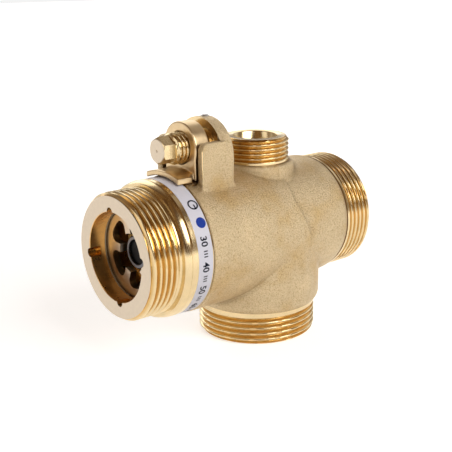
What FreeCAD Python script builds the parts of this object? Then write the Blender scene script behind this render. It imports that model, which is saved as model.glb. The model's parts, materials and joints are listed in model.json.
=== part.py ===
import FreeCAD, Part
import math
import os

# Thermostatic mixing valve, millimetres.
# The model is drawn about the barrel's axis: X runs along the barrel from the mixed outlet (-X) to the
# hot inlet (+X), Z is up, and the cold branch's axis crosses the barrel's axis at X = 0.  When a piece
# is written, it is lifted by COLD_REACH, so that the origin is the centre of the cold port's face.

# ---- ports ------------------------------------------------------------------------------------
MIX_REACH = 68.4        # branch axis to the mixed outlet's face
HOT_REACH = 43.2        # branch axis to the hot inlet's face
COLD_REACH = 43.4       # barrel axis to the cold inlet's face
TOP_RISE = 10.4         # barrel's top to the top port's rim
PORT_D = 47.8           # G 1 1/2 male thread, major diameter (mixed, hot and cold ports)
PORT_CHAMFER = 1.2
PORT_PITCH = 2.309      # 11 threads to the inch
PORT_NECK = 1.3         # plain band between thread and casting
HOT_THREAD = 12.7       # threaded length of the hot inlet
COLD_THREAD = 11.9      # threaded length of the cold inlet
HOT_BORE_D = 36.0
COLD_BORE_D = 36.0
MIX_BORE_D = 33.4
TOP_D = 26.44           # G 3/4 male thread, major diameter
TOP_THREAD = 9.4        # threaded length of the top port
TOP_CHAMFER = 1.2
TOP_PITCH = 1.814       # 14 threads to the inch
THREAD_LEAD = 1.05      # first crest's distance from a port's face, in pitches
THREAD_DEPTH = 0.64     # depth over pitch
THREAD_LAND = 1 / 6     # width of crest and root over pitch
TOP_BORE_D = 17.4
TOP_BORE_DEPTH = 14.0
TOP_DRILL_D = 3.6       # drilling from the top port into the cold chamber
TOP_SHIFT = -0.45       # top port's axis along the barrel

# ---- casting ----------------------------------------------------------------------------------
BARREL_OVER = 0.3       # barrel's surface over the outlet sleeve's collar
BARREL_FACE = 43.0      # branch axis to the barrel's machined mouth
BARREL_END = 0.6        # where the large barrel ends and the inlet's barrel starts
INLET_STEP = 1.6        # inlet barrel's surface under the large barrel's
BRANCH_D = 51.4
BRANCH_DOME = 22.4      # height of the branch's domed top inside the barrel
CAST_CHAMFER = 1.5      # chamfer of the castings beside the port threads
TOP_PAD_D = 30.6        # pad under the top port
TOP_NECK = 0.5          # plain band between the top port's thread and its pad

# ---- body's inside ----------------------------------------------------------------------------
SPIGOT_WALL = 3.1       # wall of the spigot that the outlet sleeve's collar goes over
SPIGOT_L = 8.2
CART_BORE_D = 40.6      # bore for the setting sleeve and the two seats
SHOULDER_X = 7.0        # end of that bore, where the hot seat's cage stops
COLD_SEAT_X = -10.0
COLD_CHAMBER_H = 1.5    # chamber's depth in the cartridge bore's wall
COLD_CHAMBER_L = 5.5
FLOOR_T = 2.7           # wall between the cartridge bore and the branch's bore

# ---- yoke -------------------------------------------------------------------------------------
ARCH_R = 14.2           # half width of the yoke and radius of its arch
ARCH_RISE = 6.5         # arch's centre over the barrel's top
PLATE_X = -28.9         # front face of the yoke's plate
PLATE_T = 6.0
ARM_L = 9.7
ARM_T = 3.1
ARM_RISE = 13.4         # top of the arms over the barrel's top
ARM_ROUND = 3.4         # rounded top front corner of an arm
ARM_EDGE_R = 1.2

# ---- adjusting screw and carrier --------------------------------------------------------------
SCREW_RISE = 10.0       # screw's axis over the barrel's top
SCREW_D = 12.0          # M12
SCREW_CHAMFER = 0.7
HEX_AF = 9.0
HEX_T = 5.4
HEX_STANDOFF = 5.0      # carrier's boss to the hexagon's rear at rest
HEX_PIP_R = 0.8
JOURNAL_D = 8.0
JOURNAL_OVER = 0.9      # journal's length past the plate
GROOVE_D = 5.2          # retaining groove in the journal
PIN_D = 3.0
PIN_PROUD = 0.5
TRAVEL = 2.2            # carrier's travel each way
BOSS_D = 19.6
BOSS_T = 6.4
BOSS_GAP = 2.7          # boss to the yoke's plate at rest
WEB_W = 18.4
FOOT_T = 2.1
FOOT_W = 19.6
FOOT_L = 6.6            # wide part of the foot, over the label band
FOOT_REACH = 8.5        # foot's front edge ahead of the boss
NECK_W = 16.4
TONGUE_T = 3.0
TONGUE_W = 8.0
TONGUE_X = -37.1        # middle of the tongue

# ---- outlet sleeve ----------------------------------------------------------------------------
COLLAR_WALL = 2.65      # collar's wall round the spigot
COLLAR_L = 12.2         # collar's length
COLLAR_EDGE = 0.5
RING_GROOVE_AT = 2.9    # groove behind the collar's front edge
RING_GROOVE_W = 0.5
RING_GROOVE_H = 0.4
LABEL_W = 6.5
LABEL_T = 0.18
LABEL_RIM = 0.4         # collar's rim beside the label band
MOUTH_GAP = 0.2         # collar to the barrel's mouth
POCKET_WALL = 9.0       # depth of the collar's pocket
INNER_BORE_D = 30.4     # bore behind the spider
SPIDER_DEPTH = 7.4      # outlet's face to the spider
SPIDER_T = 2.8
SPIDER_HOLE_D = 15.0
SPIDER_LOBE_D = 26.6
SPIDER_ARMS = 5
SPIDER_ARM_W = 3.2
SPIDER_ROUND = 2.6
SPIDER_TURN = 3.0       # first arm's angle from +Y, degrees
UNDERCUT_W = 0.9
UNDERCUT_H = 0.6
SNAP_WIRE = 0.8         # wire of the spider's snap ring
SNAP_OPEN = 3.0
NOTCH_D = 3.5
NOTCH_L = 4.6
NOTCH_TURN = -7.0       # first notch's angle from +Y, degrees
GASKET_T = 0.9

# ---- setting sleeve ---------------------------------------------------------------------------
SLEEVE_WALL = 2.8
SLEEVE_X0 = -47.4
SLEEVE_X1 = -27.6
DRIVE_GROOVE_H = 1.9
RING_SECTION = 2.0      # O-ring grooves of the setting sleeve
OUTER_RING_X = -44.6
INNER_RING_X = -29.6
ARM3_W = 3.4            # arms of the sleeve, cage and shuttle
SLEEVE_ARM_T = 3.4
SLEEVE_ARM_SETBACK = 0.6
TUBE_D = 14.2           # over-travel barrel
TUBE_BORE_D = 10.6
TUBE_X0 = -56.4
TUBE_X1 = -37.5
TUBE_END_T = 3.5
CAP_D = 12.4
CAP_T = 2.4
CAP_PLUG = 1.6
CAP_RING_D = 11.8
CAP_RING_W = 1.0
CAP_RING_T = 0.4

# ---- plunger and capsule ----------------------------------------------------------------------
PLUNGER_HEAD_D = 10.0
PLUNGER_HEAD_T = 3.4
STEM_D = 5.0
STEM_OUT = 2.6          # stem's length past the over-travel barrel
TAIL_D = 2.8            # capsule's tail, seated in the stem
TAIL_L = 2.4
BULB_D = 11.2
BULB_L = 14.0
FLANGE_D = 14.0
FLANGE_T = 2.0
NECK_D = 8.4
NECK_L = 6.0
CAPSULE_BORE = 12.0
CAPSULE_PIN_D = 3.0
PIN_IN = 7.0            # pin's length inside the capsule at rest
OVER_SPRING_D = 8.6
OVER_SPRING_WIRE = 1.2
OVER_SPRING_TURNS = 5

# ---- shuttle and seats ------------------------------------------------------------------------
COLD_GAP = 1.5          # cold seat to the shuttle's edge at rest
HOT_GAP = 1.2           # hot seat to the shuttle's lip at rest
SHUTTLE_GAP = 0.4       # shuttle in the cage's bore, radially
SHUTTLE_WALL = 2.0
SHUTTLE_LIP_T = 0.8
SHUTTLE_LIP_W = 1.0
SHUTTLE_LIP_D = 22.4
SHUTTLE_END_T = 1.6
SHUTTLE_RING_AT = 5.4   # shuttle's left edge to the middle of its O-ring
SHUTTLE_RING_SECTION = 1.4
HUB_AT = 2.0            # shuttle's left edge to its hub
HUB_D = 20.0
HUB_T = 2.6
HUB_SOCKET = 1.6        # depth of the pin's socket
HUB_TURN = 30.0         # first arm's angle from +Y, degrees
COLD_SEAT_T = 4.5
COLD_SEAT_BORE_D = 28.0
HOT_SEAT_D = 25.0
HOT_SEAT_T = 2.6
CAGE_L = 11.5
CAGE_BORE_D = 34.0
CAGE_LEG_W = 7.0
CAGE_RING_AT = 6.0      # shoulder to the middle of the cage's O-ring
SEAT_RING_AT = 2.2      # cold seat's face to the middle of its O-ring
SEAT_RING_SECTION = 1.8
SPRING_D = 15.0         # return spring, mean diameter
SPRING_WIRE = 1.3
SPRING_TURNS = 3
CIRCLIP_T = 0.8
CIRCLIP_H = 0.9         # circlip's depth in its groove
CIRCLIP_W = 2.3
CIRCLIP_OPEN = 8.0

# ---- clearances -------------------------------------------------------------------------------
FIT = 0.05              # pieces that are seated in each other, radially
SLIDE = 0.3             # pieces that move past each other, radially
BEARING = 0.15          # screw's journal in the yoke's plate, radially
REST = 0.1              # faces that lie on each other

# ---- sizes that follow ------------------------------------------------------------------------
SPIGOT_D = CART_BORE_D + 2 * SPIGOT_WALL
COLLAR_D = SPIGOT_D + 2 * (FIT + COLLAR_WALL)
BARREL_D = COLLAR_D + 2 * BARREL_OVER
INLET_D = BARREL_D - 2 * INLET_STEP
COLD_CHAMBER_D = CART_BORE_D + 2 * COLD_CHAMBER_H
SLEEVE_D = CART_BORE_D - 2 * SLIDE
SHUTTLE_D = CAGE_BORE_D - 2 * SHUTTLE_GAP
TOP_REACH = BARREL_D / 2 + TOP_RISE
ARCH_Z = BARREL_D / 2 + ARCH_RISE
ARM_TOP = BARREL_D / 2 + ARM_RISE
SCREW_Z = BARREL_D / 2 + SCREW_RISE

X_AXIS = FreeCAD.Vector(1, 0, 0)
Z_AXIS = FreeCAD.Vector(0, 0, 1)
ORIGIN = FreeCAD.Vector(0, 0, 0)


# ---- helpers ----------------------------------------------------------------------------------
def cyl_x(d, x0, x1, z=0.0):
    """Cylinder of diameter d along X, from x0 to x1."""
    return Part.makeCylinder(d / 2, x1 - x0, FreeCAD.Vector(x0, 0, z), X_AXIS)


def tube_x(d, bore, x0, x1):
    return cyl_x(d, x0, x1).cut(cyl_x(bore, x0 - 1, x1 + 1))


def cyl_z(d, z0, z1, x=0.0):
    """Cylinder of diameter d along Z, from z0 to z1."""
    return Part.makeCylinder(d / 2, z1 - z0, FreeCAD.Vector(x, 0, z0), Z_AXIS)


def box(x0, x1, y0, y1, z0, z1):
    return Part.makeBox(x1 - x0, y1 - y0, z1 - z0, FreeCAD.Vector(x0, y0, z0))


def turned(points):
    """Solid turned about the X axis from a closed outline of (x, radius) points."""
    corners = [FreeCAD.Vector(x, 0, radius) for x, radius in points]
    outline = Part.makePolygon(corners + corners[:1])
    return Part.Face(outline).revolve(ORIGIN, X_AXIS, 360)


def turned_z(points, x=0.0):
    """Solid turned about the vertical line at x from a closed outline of (z, radius) points."""
    corners = [FreeCAD.Vector(x + radius, 0, z) for z, radius in points]
    outline = Part.makePolygon(corners + corners[:1])
    return Part.Face(outline).revolve(FreeCAD.Vector(x, 0, 0), Z_AXIS, 360)


def arms(count, width, r0, r1, x0, x1, turn=90.0):
    """Radial arms round the X axis, fused into one shape."""
    shape = None
    for i in range(count):
        arm = box(x0, x1, r0, r1, -width / 2, width / 2)
        arm.rotate(ORIGIN, X_AXIS, turn + i * 360 / count)
        shape = arm if shape is None else shape.fuse(arm)
    return shape


def ring_section(d, section, x):
    """O-ring about the X axis with outer diameter d, round in section."""
    return Part.makeTorus((d - section) / 2, section / 2, FreeCAD.Vector(x, 0, 0), X_AXIS)


def coil(mean_d, wire, turns, x0, x1):
    """Compression spring about the X axis between x0 and x1."""
    length = x1 - x0 - wire
    helix = Part.makeHelix(length / turns, length, mean_d / 2)
    section = Part.makeCircle(wire / 2, FreeCAD.Vector(mean_d / 2, 0, 0), FreeCAD.Vector(0, 1, 0))
    spring = Part.Wire(helix).makePipeShell([Part.Wire(section)], True, True)
    spring.rotate(ORIGIN, FreeCAD.Vector(0, 1, 0), 90)
    spring.translate(FreeCAD.Vector(x0 + wire / 2, 0, 0))
    return spring


def thread_points(face, root, neck, radius, chamfer, pitch):
    """Outline of a port from its face to the root of its neck, with a ring groove for each thread."""
    inward = math.copysign(1, root - face)
    depth = THREAD_DEPTH * pitch
    land = THREAD_LAND * pitch / 2
    flank = pitch / 2 - 2 * land
    groove = (THREAD_LEAD - 0.5) * pitch
    # where the chamfer meets the first groove's outer flank
    slope = depth / flank
    meet = (radius - depth - slope * (land - groove) - radius + chamfer) / (1 + slope)
    points = [(0, radius - chamfer), (meet, radius - chamfer + meet)]
    while groove + pitch / 2 < abs(root - face) - neck:
        points += [(groove - land, radius - depth), (groove + land, radius - depth)]
        points += [(groove + pitch / 2 - land, radius), (groove + pitch / 2 + land, radius)]
        groove += pitch
    points[-1] = (abs(root - face), radius)
    return [(face + inward * t, r) for t, r in points]


def edges_near(shape, test):
    """Edges whose every sampled point passes the test."""
    found = []
    for edge in shape.Edges:
        points = edge.discretize(9)
        if all(test(p) for p in points):
            found.append(edge)
    return found


def save(name, shape):
    """Write one sub-part, lifted so that the cold port's face is at Z = 0."""
    out = shape.copy()
    out.translate(FreeCAD.Vector(0, 0, COLD_REACH))
    if len(out.Solids) == 1:
        out = out.Solids[0]
    out.exportStep(f"parts/{name}.step")
    box_ = out.BoundBox
    print(f"{name:24s} solids {len(shape.Solids)} valid {out.isValid()} volume {out.Volume:10.1f} "
          f"x {box_.XMin:7.2f} {box_.XMax:7.2f} z {box_.ZMin:7.2f} {box_.ZMax:7.2f}")


# ---- valve body -------------------------------------------------------------------------------
def body_outside():
    """Casting with its three ports, before the yoke and the bores."""
    cast_end = HOT_REACH - HOT_THREAD - PORT_NECK
    port_r = PORT_D / 2
    inlet = turned([
        (-BARREL_FACE / 2, 0), (-BARREL_FACE / 2, INLET_D / 2), (cast_end - CAST_CHAMFER * 2, INLET_D / 2),
        *reversed(thread_points(HOT_REACH, cast_end, PORT_NECK, port_r, PORT_CHAMFER, PORT_PITCH)),
        (HOT_REACH, 0)])
    step = (BARREL_D - INLET_D) / 2
    mouth = 0.4
    barrel = turned([
        (-BARREL_FACE, 0), (-BARREL_FACE, BARREL_D / 2 - mouth), (mouth - BARREL_FACE, BARREL_D / 2),
        (BARREL_END - step, BARREL_D / 2), (BARREL_END + step, INLET_D / 2 - step), (BARREL_END + step, 0)])
    branch_end = COLD_THREAD + PORT_NECK - COLD_REACH
    branch = turned_z([
        (-COLD_REACH, 0), *thread_points(-COLD_REACH, branch_end, PORT_NECK, port_r, PORT_CHAMFER,
        PORT_PITCH),
        (branch_end + CAST_CHAMFER, BRANCH_D / 2), (0, BRANCH_D / 2), (0, 0)])
    dome = Part.makeSphere(BRANCH_D / 2)
    squeeze = FreeCAD.Matrix()
    squeeze.scale(1, 1, BRANCH_DOME / (BRANCH_D / 2))
    dome = dome.transformGeometry(squeeze)
    half = BRANCH_D / 2 + 1
    casting = barrel.fuse(inlet).fuse(branch).fuse(dome.common(box(-half, half, -half, half, 0, half)))
    return casting.removeSplitter()


def top_port():
    pad_z = TOP_REACH - TOP_THREAD - TOP_NECK
    top_r = TOP_D / 2
    return turned_z([
        (0, 0), (0, TOP_PAD_D / 2), (pad_z - 1.0, TOP_PAD_D / 2), (pad_z, TOP_PAD_D / 2 - 1.0),
        *reversed(thread_points(TOP_REACH, pad_z, TOP_NECK, top_r, TOP_CHAMFER, TOP_PITCH)),
        (TOP_REACH, 0)], TOP_SHIFT)


def yoke():
    """Plate with an arched top and two arms that guide the carrier."""
    back = PLATE_X + PLATE_T
    plate = cyl_x(2 * ARCH_R, PLATE_X, back, ARCH_Z)
    plate = plate.fuse(box(PLATE_X, back, -ARCH_R, ARCH_R, BARREL_D / 4, ARCH_Z))
    plate = plate.removeSplitter()
    rim = edges_near(plate, lambda p: abs(p.x - back) < 0.01 and p.z > BARREL_D / 4 + 0.5)
    plate = plate.makeFillet(ARM_EDGE_R, rim)
    front = PLATE_X - ARM_L
    shape = plate
    for side in (-1, 1):
        y0, y1 = sorted((side * (ARCH_R - ARM_T), side * ARCH_R))
        arm = box(front, PLATE_X + 1.0, y0, y1, BARREL_D / 4, ARM_TOP)
        corner = edges_near(arm, lambda p: abs(p.x - front) < 0.01 and abs(p.z - ARM_TOP) < 0.01)
        arm = arm.makeFillet(ARM_ROUND, corner)
        outer = edges_near(arm, lambda p: abs(p.y - side * ARCH_R) < 0.01 and p.x < front + ARM_ROUND + 0.1
                           and p.z > BARREL_D / 4 + 0.5)
        outer += edges_near(arm, lambda p: abs(p.y - side * ARCH_R) < 0.01 and abs(p.x - front) < 0.01)
        arm = arm.makeFillet(ARM_EDGE_R, outer)
        shape = shape.fuse(arm)
    return shape


def body_bores():
    """Everything that is bored out of the casting."""
    chamber_x1 = COLD_SEAT_X + COLD_CHAMBER_L
    tool = cyl_x(CART_BORE_D, -BARREL_FACE - SPIGOT_L - 1, SHOULDER_X)
    tool = tool.fuse(cyl_x(HOT_BORE_D, SHOULDER_X - 1, HOT_REACH + 1))
    tool = tool.fuse(cyl_x(COLD_CHAMBER_D, COLD_SEAT_X, chamber_x1))
    roof = -(CART_BORE_D / 2 + FLOOR_T)
    tool = tool.fuse(cyl_z(COLD_BORE_D, -COLD_REACH - 1, roof))
    rise = cyl_z(COLD_BORE_D, roof - 1, 0)
    rise = rise.common(box(COLD_SEAT_X, chamber_x1, -COLD_BORE_D, COLD_BORE_D, roof - 2, 1))
    tool = tool.fuse(rise)
    tool = tool.fuse(cyl_z(TOP_BORE_D, TOP_REACH - TOP_BORE_DEPTH, TOP_REACH + 1, TOP_SHIFT))
    tool = tool.fuse(cyl_z(TOP_DRILL_D, CART_BORE_D / 2 - 1, TOP_REACH, (COLD_SEAT_X + chamber_x1) / 2))
    # slot for the carrier's tongue
    half = TONGUE_T / 2 + TRAVEL + SLIDE
    side = TONGUE_W / 2 + SLIDE
    slot = box(TONGUE_X - half, TONGUE_X + half, -side, side, CART_BORE_D / 2 - 2, BARREL_D / 2 + 1)
    tool = tool.fuse(slot)
    # journal's bearing and the retaining pin's hole in the yoke's plate
    tool = tool.fuse(cyl_x(JOURNAL_D + 2 * BEARING, PLATE_X - 1, PLATE_X + PLATE_T + 1, SCREW_Z))
    tool = tool.fuse(cyl_z(PIN_D + 2 * FIT, SCREW_Z, ARCH_Z + ARCH_R + 1, PLATE_X + PLATE_T / 2))
    # groove of the circlip that holds the seats
    groove_x1 = CIRCLIP_X + CIRCLIP_T + REST / 2
    return tool.fuse(cyl_x(CART_BORE_D + 2 * CIRCLIP_H, CIRCLIP_X - REST / 2, groove_x1))


def valve_body():
    spigot = cyl_x(SPIGOT_D, -BARREL_FACE - SPIGOT_L, -BARREL_FACE + 1)
    shape = body_outside().fuse(top_port()).fuse(yoke()).fuse(spigot)
    return shape.cut(body_bores())


# ---- outlet sleeve ----------------------------------------------------------------------------
COLLAR_X1 = -BARREL_FACE - MOUTH_GAP
COLLAR_X0 = COLLAR_X1 - COLLAR_L
SPIDER_X0 = SPIDER_DEPTH - MIX_REACH
SPIDER_X1 = SPIDER_X0 + SPIDER_T


def outlet_sleeve():
    """Turned outlet: threaded nose, collar with the label's seat, and a pocket over the spigot."""
    port_r = PORT_D / 2
    collar_r = COLLAR_D / 2
    label_x1 = COLLAR_X1 - LABEL_RIM
    label_x0 = label_x1 - LABEL_W
    groove = COLLAR_X0 + RING_GROOVE_AT
    pocket = COLLAR_X1 - POCKET_WALL
    bore_r = MIX_BORE_D / 2
    face = -MIX_REACH
    shape = turned([
        (face, bore_r), *thread_points(face, COLLAR_X0, PORT_NECK, port_r, PORT_CHAMFER, PORT_PITCH),
        (COLLAR_X0, collar_r - 2 * COLLAR_EDGE),
        (COLLAR_X0 + COLLAR_EDGE, collar_r - COLLAR_EDGE), (groove - RING_GROOVE_W, collar_r),
        (groove, collar_r - RING_GROOVE_H), (groove + RING_GROOVE_W, collar_r),
        (label_x0, collar_r), (label_x0, collar_r - LABEL_T - FIT), (label_x1, collar_r - LABEL_T - FIT),
        (label_x1, collar_r), (COLLAR_X1, collar_r), (COLLAR_X1, SPIGOT_D / 2 + FIT),
        (pocket, SPIGOT_D / 2 + FIT), (pocket, INNER_BORE_D / 2), (SPIDER_X1, INNER_BORE_D / 2),
        (SPIDER_X1, bore_r), (SPIDER_X0, bore_r), (SPIDER_X0, bore_r + UNDERCUT_H),
        (SPIDER_X0 - UNDERCUT_W, bore_r + UNDERCUT_H), (SPIDER_X0 - UNDERCUT_W, bore_r)])
    for i in range(4):
        notch = cyl_x(NOTCH_D, face - 1, face + NOTCH_L)
        notch.translate(FreeCAD.Vector(0, bore_r, 0))
        notch.rotate(ORIGIN, X_AXIS, NOTCH_TURN + 90 * i)
        shape = shape.cut(notch)
    return shape


def outlet_spider():
    """Disc with a centre hole and lobed windows between its arms."""
    disc = cyl_x(MIX_BORE_D - 2 * FIT, SPIDER_X0, SPIDER_X1)
    window = tube_x(SPIDER_LOBE_D, SPIDER_HOLE_D - 1, SPIDER_X0 - 1, SPIDER_X1 + 1)
    window = window.cut(arms(SPIDER_ARMS, SPIDER_ARM_W, 0, SPIDER_LOBE_D, SPIDER_X0 - 2, SPIDER_X1 + 2,
                             SPIDER_TURN))
    corners = edges_near(window, lambda p: abs(math.hypot(p.y, p.z) - SPIDER_LOBE_D / 2) < 0.01)
    corners = [e for e in corners if abs(e.Vertexes[0].X - e.Vertexes[-1].X) > 1]
    window = window.makeFillet(SPIDER_ROUND, corners)
    return disc.cut(window).cut(cyl_x(SPIDER_HOLE_D, SPIDER_X0 - 1, SPIDER_X1 + 1))


def spider_snap_ring():
    """Wire ring in the undercut ahead of the spider, open at the bottom."""
    outer = MIX_BORE_D + 2 * UNDERCUT_H - 2 * FIT
    middle = SPIDER_X0 - UNDERCUT_W / 2
    ring = ring_section(outer, SNAP_WIRE, middle)
    return ring.cut(box(middle - 1, middle + 1, -SNAP_OPEN / 2, SNAP_OPEN / 2, -outer, 0))


def label_band():
    x1 = COLLAR_X1 - LABEL_RIM - FIT
    return tube_x(COLLAR_D, COLLAR_D - 2 * LABEL_T, x1 - LABEL_W + 2 * FIT, x1)


def body_gasket():
    end = -BARREL_FACE - SPIGOT_L
    pocket = COLLAR_X1 - POCKET_WALL
    middle = (end + pocket) / 2
    thick = min(GASKET_T, end - pocket)
    return tube_x(SPIGOT_D - 2 * FIT, CART_BORE_D + 2 * SLIDE, middle - thick / 2, middle + thick / 2)


# ---- adjusting screw and carrier --------------------------------------------------------------
BOSS_X1 = PLATE_X - BOSS_GAP
BOSS_X0 = BOSS_X1 - BOSS_T
HEX_X1 = BOSS_X0 - HEX_STANDOFF
HEX_X0 = HEX_X1 - HEX_T


def adjusting_screw():
    """Hexagon, M12 shank and a journal with its retaining groove."""
    corner_r = HEX_AF / math.sqrt(3)
    corners = [FreeCAD.Vector(HEX_X0, corner_r * math.sin(math.radians(60 * i)),
                              SCREW_Z + corner_r * math.cos(math.radians(60 * i))) for i in range(6)]
    hexagon = Part.Face(Part.makePolygon(corners + corners[:1])).extrude(FreeCAD.Vector(HEX_T, 0, 0))
    crown = Part.makeCone(HEX_AF / 2 - 0.2, HEX_AF / 2 - 0.2 + 2 * HEX_T, HEX_T,
                          FreeCAD.Vector(HEX_X0, 0, SCREW_Z), X_AXIS)
    hexagon = hexagon.common(crown)
    pip = Part.makeCone(0, HEX_PIP_R, HEX_PIP_R, FreeCAD.Vector(HEX_X0 + HEX_PIP_R, 0, SCREW_Z), X_AXIS * -1)
    hexagon = hexagon.cut(pip)
    shoulder = PLATE_X - REST
    shank = cyl_x(SCREW_D, HEX_X1 - 0.01, shoulder, SCREW_Z)
    rim = edges_near(shank, lambda p: abs(p.x - HEX_X1) < 0.1)
    shank = shank.makeChamfer(SCREW_CHAMFER, rim)
    journal = cyl_x(JOURNAL_D, shoulder - 1, PLATE_X + PLATE_T + JOURNAL_OVER, SCREW_Z)
    middle = PLATE_X + PLATE_T / 2
    half = PIN_D / 2 + SLIDE
    groove = cyl_x(JOURNAL_D + 2, middle - half, middle + half, SCREW_Z)
    groove = groove.cut(cyl_x(GROOVE_D, middle - half - 1, middle + half + 1, SCREW_Z))
    return hexagon.fuse(shank).fuse(journal.cut(groove)).removeSplitter()


def screw_retaining_pin():
    top = ARCH_Z + ARCH_R + PIN_PROUD
    x = PLATE_X + PLATE_T / 2
    pin = cyl_z(PIN_D, SCREW_Z + GROOVE_D / 2 + SLIDE, top, x)
    rims = edges_near(pin, lambda p: abs(p.z - top) < 0.01)
    return pin.makeChamfer(0.3, rims)


def adjusting_carrier():
    """Threaded boss on a curved foot that lies over the label band, with a tongue through the body."""
    under = BARREL_D + 2 * SLIDE
    over = under + 2 * FOOT_T
    boss = cyl_x(BOSS_D, BOSS_X0, BOSS_X1, SCREW_Z)
    web = box(BOSS_X0, BOSS_X1, -WEB_W / 2, WEB_W / 2, 0, SCREW_Z)
    front = BOSS_X0 - FOOT_REACH
    foot = box(front, front + FOOT_L, -FOOT_W / 2, FOOT_W / 2, 0, SCREW_Z)
    foot = foot.fuse(box(front, BOSS_X1, -NECK_W / 2, NECK_W / 2, 0, SCREW_Z))
    foot = foot.common(cyl_x(over, front - 1, BOSS_X1 + 1))
    tongue = box(TONGUE_X - TONGUE_T / 2, TONGUE_X + TONGUE_T / 2, -TONGUE_W / 2, TONGUE_W / 2,
                 SLEEVE_D / 2 - DRIVE_GROOVE_H + REST, under / 2 + 1)
    shape = boss.fuse(web).fuse(foot).cut(cyl_x(under, front - 1, BOSS_X1 + 1))
    shape = shape.fuse(tongue).cut(cyl_x(SCREW_D + 2 * SLIDE, front, BOSS_X1 + 1, SCREW_Z))
    return shape.removeSplitter()


# ---- setting sleeve ---------------------------------------------------------------------------
def setting_sleeve():
    """Sleeve that the tongue moves, with arms that carry the over-travel barrel."""
    sleeve_r = SLEEVE_D / 2
    bore_d = SLEEVE_D - 2 * SLEEVE_WALL
    shape = tube_x(SLEEVE_D, bore_d, SLEEVE_X0, SLEEVE_X1)
    half = TONGUE_T / 2 + REST
    shape = shape.cut(tube_x(SLEEVE_D + 2, SLEEVE_D - 2 * DRIVE_GROOVE_H, TONGUE_X - half, TONGUE_X + half))
    for x in (OUTER_RING_X, INNER_RING_X):
        half = RING_SECTION / 2 + FIT
        inner = 2 * (sleeve_r - RING_SECTION + SLIDE / 2 - FIT)
        shape = shape.cut(tube_x(SLEEVE_D + 2, inner, x - half, x + half))
    tube = cyl_x(TUBE_D, TUBE_X0, TUBE_X1)
    spoke_x = SLEEVE_X0 + SLEEVE_ARM_SETBACK
    spokes = arms(3, ARM3_W, TUBE_BORE_D / 2 + 0.5, bore_d / 2 + 0.5, spoke_x, spoke_x + SLEEVE_ARM_T)
    shape = shape.fuse(spokes).fuse(tube)
    shape = shape.cut(cyl_x(TUBE_BORE_D, TUBE_X0 - 1, TUBE_X1 - TUBE_END_T))
    return shape.cut(cyl_x(STEM_D + 2 * SLIDE, TUBE_X0, TUBE_X1 + 1))


def sleeve_ring(x):
    """O-ring in one of the setting sleeve's grooves."""
    outer = SLEEVE_D + SLIDE
    return ring_section(outer, RING_SECTION, x)


def barrel_cap():
    face = TUBE_X0 - CAP_T
    inner = CAP_RING_D - 2 * CAP_RING_W - 2 * FIT
    cap = cyl_x(CAP_D, face, TUBE_X0)
    cap = cap.fuse(cyl_x(TUBE_BORE_D - 2 * FIT, TUBE_X0, TUBE_X0 + CAP_PLUG))
    seat = tube_x(CAP_RING_D + 2 * FIT, inner, face - 1, face + CAP_RING_T)
    dish = cyl_x(inner, face - 1, face + 2 * CAP_RING_T)
    return cap.cut(seat).cut(dish).removeSplitter()


def cap_ring():
    x0 = TUBE_X0 - CAP_T - CAP_RING_T / 2
    return tube_x(CAP_RING_D, CAP_RING_D - 2 * CAP_RING_W, x0, x0 + CAP_RING_T * 1.5)


# ---- plunger and capsule ----------------------------------------------------------------------
HEAD_X1 = TUBE_X1 - TUBE_END_T - REST
HEAD_X0 = HEAD_X1 - PLUNGER_HEAD_T
STEM_X1 = TUBE_X1 + STEM_OUT
NECK_X1 = STEM_X1 + BULB_L + FLANGE_T + NECK_L


def overtravel_plunger():
    """Head that the over-travel spring presses, and a stem with a socket for the capsule's tail."""
    shape = cyl_x(PLUNGER_HEAD_D, HEAD_X0, HEAD_X1).fuse(cyl_x(STEM_D, HEAD_X1 - 1, STEM_X1))
    socket = cyl_x(TAIL_D + 2 * FIT, STEM_X1 - TAIL_L - REST, STEM_X1 + 1)
    return shape.removeSplitter().cut(socket)


def overtravel_spring():
    return coil(OVER_SPRING_D, OVER_SPRING_WIRE, OVER_SPRING_TURNS, TUBE_X0 + CAP_PLUG + REST, HEAD_X0 - REST)


def wax_capsule():
    """Element: tail, sensing bulb, flange and a guide neck that the pin comes out of."""
    bulb_r = BULB_D / 2
    bulb_x1 = STEM_X1 + BULB_L
    nose = Part.makeCone(bulb_r / 2, bulb_r, bulb_r / 2, FreeCAD.Vector(STEM_X1, 0, 0), X_AXIS)
    shape = cyl_x(TAIL_D, STEM_X1 - TAIL_L, STEM_X1 + 1).fuse(nose)
    shape = shape.fuse(cyl_x(BULB_D, STEM_X1 + bulb_r / 2, bulb_x1))
    shape = shape.fuse(cyl_x(FLANGE_D, bulb_x1, bulb_x1 + FLANGE_T))
    shape = shape.fuse(cyl_x(NECK_D, bulb_x1, NECK_X1)).removeSplitter()
    return shape.cut(cyl_x(CAPSULE_PIN_D + 2 * SLIDE, NECK_X1 - CAPSULE_BORE, NECK_X1 + 1))


def capsule_pin():
    return cyl_x(CAPSULE_PIN_D, NECK_X1 - PIN_IN, HUB_X0 + HUB_SOCKET - REST)


# ---- shuttle and seats ------------------------------------------------------------------------
HOT_SEAT_X = SHOULDER_X - REST - HOT_SEAT_T
CAGE_X0 = SHOULDER_X - REST - CAGE_L
CIRCLIP_X = COLD_SEAT_X - COLD_SEAT_T - CIRCLIP_T - REST
SHUTTLE_X0 = COLD_SEAT_X + COLD_GAP
SHUTTLE_X1 = HOT_SEAT_X - HOT_GAP
HUB_X0 = SHUTTLE_X0 + HUB_AT
HUB_X1 = HUB_X0 + HUB_T


def seat_ring_groove(x):
    """Cutter for an O-ring groove round one of the seats."""
    half = SEAT_RING_SECTION / 2 + FIT
    inner = CART_BORE_D - 2 * (SEAT_RING_SECTION + 2 * FIT)
    return tube_x(CART_BORE_D + 2, inner, x - half, x + half)


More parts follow.
